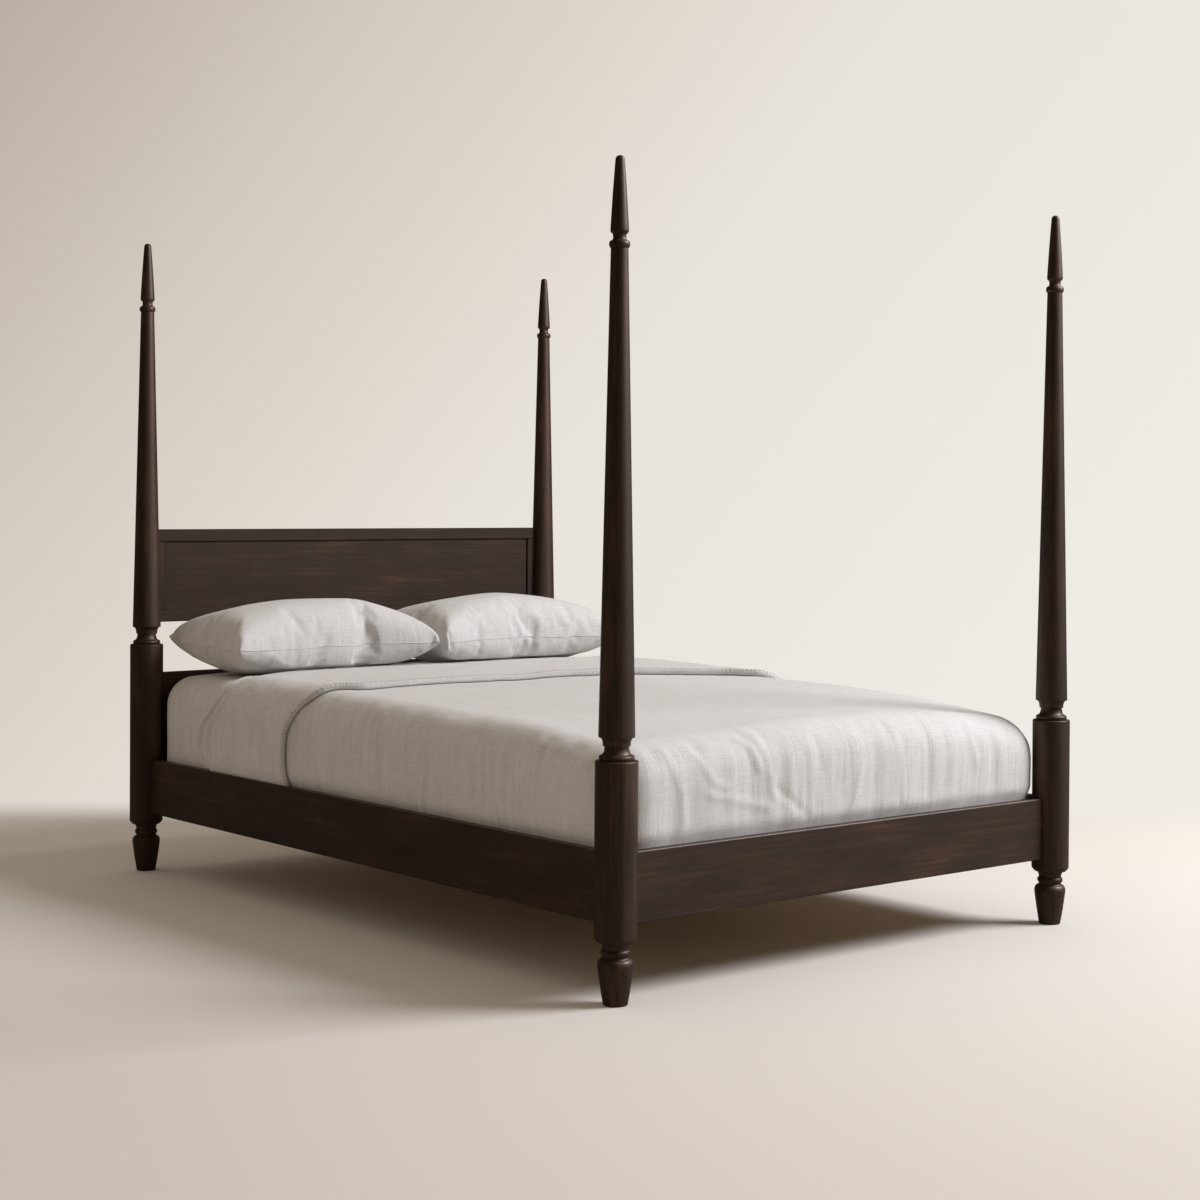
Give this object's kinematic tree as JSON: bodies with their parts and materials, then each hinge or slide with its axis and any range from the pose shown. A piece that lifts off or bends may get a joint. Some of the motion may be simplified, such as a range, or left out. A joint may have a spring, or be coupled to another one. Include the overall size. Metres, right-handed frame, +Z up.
{
  "type": "four-poster bed",
  "caption": "Four-poster bed with tapered turned posts and finials, a low framed headboard, plain rails on hook plates, a slatted deck, and a mattress made up in linen with pillows.",
  "frame": {"origin": "on the floor under the middle of the bed's outline", "axes": "+X to the right as seen from the foot, +Y along the bed towards the head, +Z up"},
  "size_m": [1.514, 2.1738, 1.776],
  "materials": {
    "stained_wood": "dark brown stain under satin lacquer",
    "bare_wood": "planed, unfinished",
    "zinc_steel": "zinc plated sheet",
    "foot_plastic": "moulded, matt",
    "ticking": "woven ticking",
    "linen": "washed linen, plain weave"
  },
  "bodies": {
    "frame": {"post_foot_left": "stained_wood", "post_foot_right": "stained_wood", "post_head_left": "stained_wood", "post_head_right": "stained_wood", "headboard_top_rail": "stained_wood", "headboard_bottom_rail": "stained_wood", "headboard_stile_left": "stained_wood", "headboard_stile_right": "stained_wood", "headboard_panel": "stained_wood", "head_panel": "stained_wood", "foot_rail": "stained_wood", "side_rail_left": "stained_wood", "side_rail_right": "stained_wood", "ledger_left": "bare_wood", "ledger_right": "bare_wood", "slat_01": "bare_wood", "slat_02": "bare_wood", "slat_03": "bare_wood", "slat_04": "bare_wood", "slat_05": "bare_wood", "slat_06": "bare_wood", "slat_07": "bare_wood", "slat_08": "bare_wood", "slat_09": "bare_wood", "slat_10": "bare_wood", "slat_11": "bare_wood", "slat_12": "bare_wood", "slat_13": "bare_wood", "slat_14": "bare_wood", "centre_beam": "bare_wood", "centre_leg": "bare_wood", "rail_hook_plates": "zinc_steel", "post_slotted_plates": "zinc_steel", "beam_hanger_foot": "zinc_steel", "beam_hanger_head": "zinc_steel"},
    "mattress": {"mattress": "ticking", "fitted_sheet": "linen", "coverlet": "linen"},
    "pillow_left": {"pillow_left": "linen"},
    "pillow_right": {"pillow_right": "linen"},
    "leveller": {"leveller": "foot_plastic"}
  },
  "joints": [
    {"name": "mattress_lift", "type": "slide", "parent": "frame", "child": "mattress", "axis": [0, 0, 1], "range_m": [0, 0.35]},
    {"name": "pillow_left_lift", "type": "slide", "parent": "mattress", "child": "pillow_left", "axis": [0, 0, 1], "range_m": [0, 0.3]},
    {"name": "pillow_right_lift", "type": "slide", "parent": "mattress", "child": "pillow_right", "axis": [0, 0, 1], "range_m": [0, 0.3]},
    {"name": "leveller_turn", "type": "slide", "parent": "frame", "child": "leveller", "axis": [0, 0, 1], "range_m": [0, 0.012]}
  ]
}
